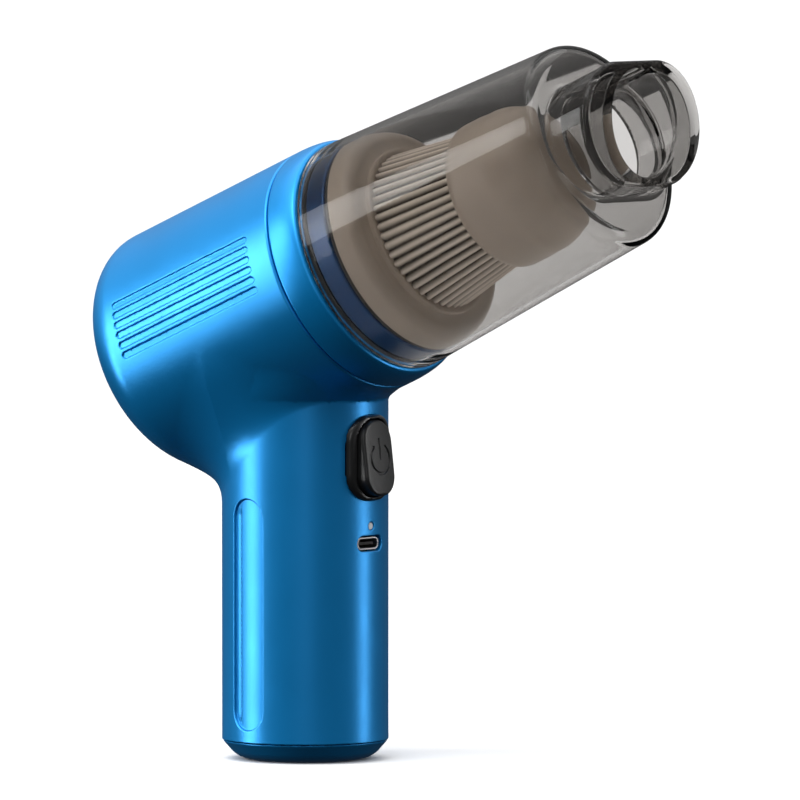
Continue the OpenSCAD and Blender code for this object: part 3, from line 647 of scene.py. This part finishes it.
def fold(s, r, turn):
    share = np.clip((s - pleat_s) / (pleat_end_s - pleat_s), 0, 1)
    lean = 0.002 * np.sin(turn * 7 + 1.3 + share)
    crest = np.abs(np.cos((turn + lean) * pleats / 2)) - 1
    uneven = 1 + 0.05 * np.sin(turn * 5) + 0.03 * np.sin(turn * 11 + share * 2)
    return np.where(r > 0.0155, pleat_depth * crest * uneven, 0)


paper, shader, place = finish("pleated_paper", Roughness=0.9)
fibres = place.noise(0.0006, 4.0)
share = (axis_place(place) - pleat_s) * (1 / (pleat_end_s - pleat_s))
crest_r = pleat_rear_r + (pleat_front_r - pleat_rear_r) * share
sunk = (crest_r - axis_radius(place)) * (1 / pleat_depth)
# Painted shade: the paper's colour runs from its own brown-grey at each crest to near black down in the folds.
painted_fold_shade = place.node("ValToRGB", {"stops": [(0.0, 1), (0.75, 0)]}, {"Fac": sunk})
(painted_fold_shade * 0.85 + fibres * 0.15).tinted((0.05, 0.04, 0.03), (0.62, 0.54, 0.46)).into(shader, "Base Color")
(place.noise(0.0002, 2.0) + fibres).bumped(shader, 0.00005)
outside = [
    (pleat_s + (pleat_end_s - pleat_s) * t, pleat_rear_r + (pleat_front_r - pleat_rear_r) * t)
    for t in np.linspace(0, 1, pleat_steps)
]
turned(
    "paper_pleats", [(pleat_end_s, 0.0154), (pleat_s, 0.0154)] + outside,
    paper, "filter_pleats", "filter", "filter_paper", around=800, wave=fold, crease=60,
)

# The filter's cap: a blind domed cup of the same plastic that closes the
# pleats' front, moulded with a rounded shoulder and a soft nose.
cap_end_s, cap_low_r = 0.0917, 0.0155
turned(
    "domed_cap",
    [
        (0.0837, 0.0002),
        (0.0837, cap_low_r - 0.001),
        (0.0827, cap_low_r),
        (pleat_end_s, cap_low_r),
        (pleat_end_s, 0.018),
        *arc(0.0708, 0.018, 0.0031, 0.0022, 180, 90, 8),
        (0.0755, 0.0202),
        (0.0785, 0.01995),
        *arc(0.0792, 0.0081, 0.0125, 0.01195, 84, 2, 16),
        (cap_end_s, 0.0002),
    ],
    frame_grey, "filter_cap", "filter", "filter_plastic",
)

# The seals: soft black rubber rings, one under the filter's skirt, one in the
# spigot's groove, and one between the fan cover and the bulkhead.
rubber = moulded("black_rubber", (0.012, 0.012, 0.013), 0.62, 0.00006)
for node in ("filter_seal", "cup_seal", "fan_seal"):
    nodes[node].data.materials.clear()
    nodes[node].data.materials.append(rubber)

# The bezel: a satin black ABS frame snapped round the button's opening, curved
# with the handle and rounded over on its outer edge.
bezel_out, bezel_w, bezel_h, bezel_corner = 0.0013, 0.018, 0.0226, 0.007
button_w, button_h, button_corner, slide_gap = 0.0123, 0.02, 0.0055, 0.0003


def bezel(p):
    x, y, z = p[:, 0], p[:, 1], p[:, 2] - button_z
    r = np.hypot(x, y)
    rim = common(round_cornered(y, z, bezel_w, bezel_h, bezel_corner), r - handle_r - bezel_out, 0.0011)
    rim = np.maximum(rim, handle_r + 0.00002 - r)
    sleeve = round_cornered(y, z, button_w + 0.0022, button_h + 0.0022, button_corner + 0.001)
    sleeve = np.maximum(sleeve, np.maximum(r - handle_r - 0.001, 0.0176 - x))
    hole = round_cornered(y, z, button_w + 2 * slide_gap, button_h + 2 * slide_gap, button_corner + slide_gap)
    return common(np.minimum(rim, sleeve), -hole, 0.0003)


def fine(p):
    return np.full(len(p), 0.0007)


black = moulded("black_abs", (0.010, 0.0105, 0.0115), 0.3, 0.00002, Coat_Weight=0.3, Coat_Roughness=0.15)
skinned("button_frame", bezel, "button_bezel", 0.0005, fine, black, "body", "black_plastic")

# The power button: a domed satin black cap that slides in the bezel, with a
# power mark pressed into its face, and a flange that holds it in behind.
button_out, button_lean = 0.003, math.radians(7)
flange_low_x, flange_high_x = 0.016, 0.0173
mark_r, mark_w, mark_depth, mark_z = 0.0039, 0.0007, 0.0004, -0.0002


def power_mark(y, z):
    """Distance from a broken ring with a bar in its gap."""
    z = z - mark_z
    turn = np.abs(np.arctan2(y, z))
    ring = np.abs(np.hypot(y, z) - mark_r)
    gap = math.radians(38)
    end = np.hypot(np.abs(y) - mark_r * math.sin(gap), z - mark_r * math.cos(gap))
    ring = np.where(turn > gap, ring, end)
    bar = np.hypot(y, np.maximum(np.abs(z - 0.0026) - 0.0024, 0))
    return np.minimum(ring, bar) - mark_w / 2


def button(p):
    x, y, z = p[:, 0], p[:, 1], p[:, 2] - button_z
    c, d = math.cos(button_lean), math.sin(button_lean)
    face = (x - handle_r - button_out) * c + z * d
    dome = face + 5 * y**2 + 1.5 * z**2
    cap = common(round_cornered(y, z, button_w, button_h, button_corner), dome, 0.0009)
    cap = np.maximum(cap, flange_high_x - 0.0001 - x)
    press = np.clip(0.5 - power_mark(y, z) / 0.00025, 0, 1) * mark_depth
    cap = cap + np.where(face > -0.0015, press, 0)
    edge = round_cornered(y, z, button_w + 0.0018, button_h + 0.0018, button_corner + 0.0009)
    flange = np.maximum(edge, np.maximum(flange_low_x - x, x - flange_high_x))
    return np.minimum(cap, np.maximum(flange, np.abs(z) - button_h / 2 - 0.0002))


def button_edges(p):
    z = p[:, 2] - button_z
    near = (np.abs(power_mark(p[:, 1], z)) < 0.0005) & (p[:, 0] > 0.0225)
    return np.where(near, 0.00016, 0.0008)


satin = moulded("satin_black_abs", (0.012, 0.0125, 0.0135), 0.36, 0.00003)
skinned("button_cap", button, "power_button", 0.0005, button_edges, satin, "button", "black_plastic")

# The charging port and the status light: a folded stainless socket with its
# black tongue, and a clear acrylic pipe that shows the board's lamp.
steel, shader, place = finish("bright_steel", Metallic=1.0)
place.noise(0.004).tinted((0.56, 0.56, 0.57), (0.68, 0.68, 0.69)).into(shader, "Base Color")
(0.24 + place.noise(0.0015, 4.0) * 0.16).into(shader, "Roughness")
lamp, shader, place = finish("light_pipe", Roughness=0.3, Emission_Strength=0.0)
place.noise(0.001).tinted((0.75, 0.8, 0.82), (0.9, 0.93, 0.95)).into(shader, "Base Color")

# The inside works: motor, fan, cells, board and leads, each in the finish of
# its real material. They are the CAD pieces with their own materials.
alloy, shader, place = finish("cast_alloy", Metallic=1.0)
place.noise(0.003).tinted((0.5, 0.5, 0.52), (0.62, 0.62, 0.64)).into(shader, "Base Color")
(0.34 + place.noise(0.001, 4.0) * 0.2).into(shader, "Roughness")
place.noise(0.0006).bumped(shader, 0.00003)
bronze, shader, place = finish("sintered_bronze", Metallic=1.0)
place.noise(0.0007).tinted((0.42, 0.26, 0.1), (0.6, 0.4, 0.17)).into(shader, "Base Color")
(0.35 + place.noise(0.0004, 4.0) * 0.2).into(shader, "Roughness")
magnet, shader, place = finish("ferrite")
place.noise(0.0006).tinted((0.03, 0.03, 0.033), (0.07, 0.07, 0.075)).into(shader, "Base Color")
(0.55 + place.noise(0.001) * 0.2).into(shader, "Roughness")
foam, shader, place = finish("open_foam", Roughness=0.95)
# Painted shade: the foam's colour is darkest at the bottom of each pore, where its bumps dip, standing for shade
# inside the pores.
pores_and_pit_shade = place.node("TexVoronoi", {}, {"Vector": place, "Scale": 900.0})
pores_and_pit_shade.tinted((0.006, 0.006, 0.006), (0.05, 0.05, 0.052)).into(shader, "Base Color")
pores_and_pit_shade.bumped(shader, 0.0004)
wrap = moulded("cell_sleeve", (0.01, 0.2, 0.09), 0.28, 0.00002, Coat_Weight=0.4)
cream = moulded("cradle_plastic", (0.78, 0.73, 0.6), 0.5)
red = moulded("red_insulation", (0.5, 0.01, 0.01), 0.4)
black_lead = moulded("black_insulation", (0.012, 0.012, 0.012), 0.4)
fan_white = moulded("fan_plastic", (0.62, 0.63, 0.64), 0.4)
board, shader, place = finish("circuit_board", Coat_Weight=0.5)
cells = place.node("TexVoronoi", {"feature": "DISTANCE_TO_EDGE"}, {"Vector": place, "Scale": 350.0})
tracks = place.node("ValToRGB", {"stops": [(0.04, 1), (0.08, 0)]}, {"Fac": cells})
tracks.tinted((0.003, 0.06, 0.022), (0.01, 0.16, 0.06)).into(shader, "Base Color")
(0.35 + place.noise(0.002) * 0.15).into(shader, "Roughness")
for finished, names in (
    (steel, "base_screws collar_screws motor_screws board_screws usb_shell motor_shaft cell_links fan_cover"),
    (alloy, "motor_can motor_rotor"),
    (bronze, "shaft_bushes"),
    (magnet, "motor_magnets"),
    (foam, "exhaust_foam"),
    (wrap, "cell_left cell_right"),
    (cream, "battery_cradle"),
    (red, "motor_lead_red"),
    (black_lead, "motor_lead_black"),
    (fan_white, "impeller"),
    (board, "circuit_board"),
    (lamp, "status_light"),
    (black, "exhaust_grille motor_mount motor_end_cap power_switch switch_plunger usb_insert"),
):
    for name in names.split():
        nodes[name].data.materials.clear()
        nodes[name].data.materials.append(finished)

# The studio: a plain white floor, a pale surround and a broad ceiling light, two
# tall soft boxes that streak the handle, one above and a weak one by the camera.
azimuth, elevation = 0.6482, 0.0539
back = Vector((
    math.sin(azimuth) * math.cos(elevation), -math.cos(azimuth) * math.cos(elevation), math.sin(elevation)
))
right = Vector((math.cos(azimuth), math.sin(azimuth), 0))
target = Vector((0.031387, 0, 0.095782))
floor_mesh = bpy.data.meshes.new("floor")
floor_r, floor_sides = 40, 64
floor_turns = np.linspace(0, 2 * math.pi, floor_sides, endpoint=False)
floor_mesh.from_pydata(
    [(floor_r * math.cos(t), floor_r * math.sin(t), 0) for t in floor_turns], [], [list(range(floor_sides))],
)
floor = bpy.data.objects.new("floor", floor_mesh)
bpy.context.scene.collection.objects.link(floor)
floor_paint, shader, place = finish("floor_paint", Roughness=0.9, Base_Color=(0.95, 0.95, 0.95, 1))
floor_mesh.materials.append(floor_paint)
floor.visible_diffuse = floor.visible_glossy = False


def soft_box(name, at, size, watts):
    """A rectangular light that faces the vacuum."""
    lamp_data = bpy.data.lights.new(name, "AREA")
    lamp_data.shape, lamp_data.size, lamp_data.size_y, lamp_data.energy = "RECTANGLE", *size, watts
    lamp_object = bpy.data.objects.new(name, lamp_data)
    lamp_object.location = at
    lamp_object.rotation_mode = "QUATERNION"
    lamp_object.rotation_quaternion = (at - target).to_track_quat("Z", "Y")
    bpy.context.scene.collection.objects.link(lamp_object)


up = Vector((0, 0, 1))
soft_box("left_box", target - right * 0.9 + back * 0.12 + up * 0.05, (0.3, 0.9), 8.0)
soft_box("right_box", target + right * 0.9 + back * 0.0 + up * 0.0, (0.14, 0.8), 2.6)
soft_box("top_box", target + up * 1.0 + back * 0.45 - right * 0.35, (0.9, 0.5), 7)
soft_box("front_box", target + back * 1.6 + up * 0.3, (0.3, 0.6), 1.6)
sun = bpy.data.lights.new("ceiling", "SUN")
sun.energy, sun.angle = 2.4, math.radians(100)
sun_object = bpy.data.objects.new("ceiling", sun)
bpy.context.scene.collection.objects.link(sun_object)
world = bpy.data.worlds.new("surround")
world.use_nodes = True
surround = world.node_tree.nodes["Background"]
sky = Wire(world.node_tree, world.node_tree.nodes.new("ShaderNodeTexCoord").outputs["Generated"])
height = sky.node("SeparateXYZ", {}, {"Vector": sky}, out="Z")
height.node("ValToRGB", {"stops": [(0.0, 0.05), (0.3, 0.8)]}, {"Fac": height * 0.5 + 0.06}).into(surround, "Color")
surround.inputs["Strength"].default_value = 0.55
bpy.context.scene.world = world
bpy.context.scene.view_settings.view_transform = "Standard"

camera_data = bpy.data.cameras.new("camera")
camera_data.sensor_width, camera_data.lens = 36, 514.9
camera_data.clip_start, camera_data.clip_end = 0.1, 100
camera = bpy.data.objects.new("camera", camera_data)
camera.location = target + back * 3.0
camera.rotation_mode = "QUATERNION"
camera.rotation_quaternion = back.to_track_quat("Z", "Y")
bpy.context.scene.collection.objects.link(camera)
bpy.context.scene.camera = camera
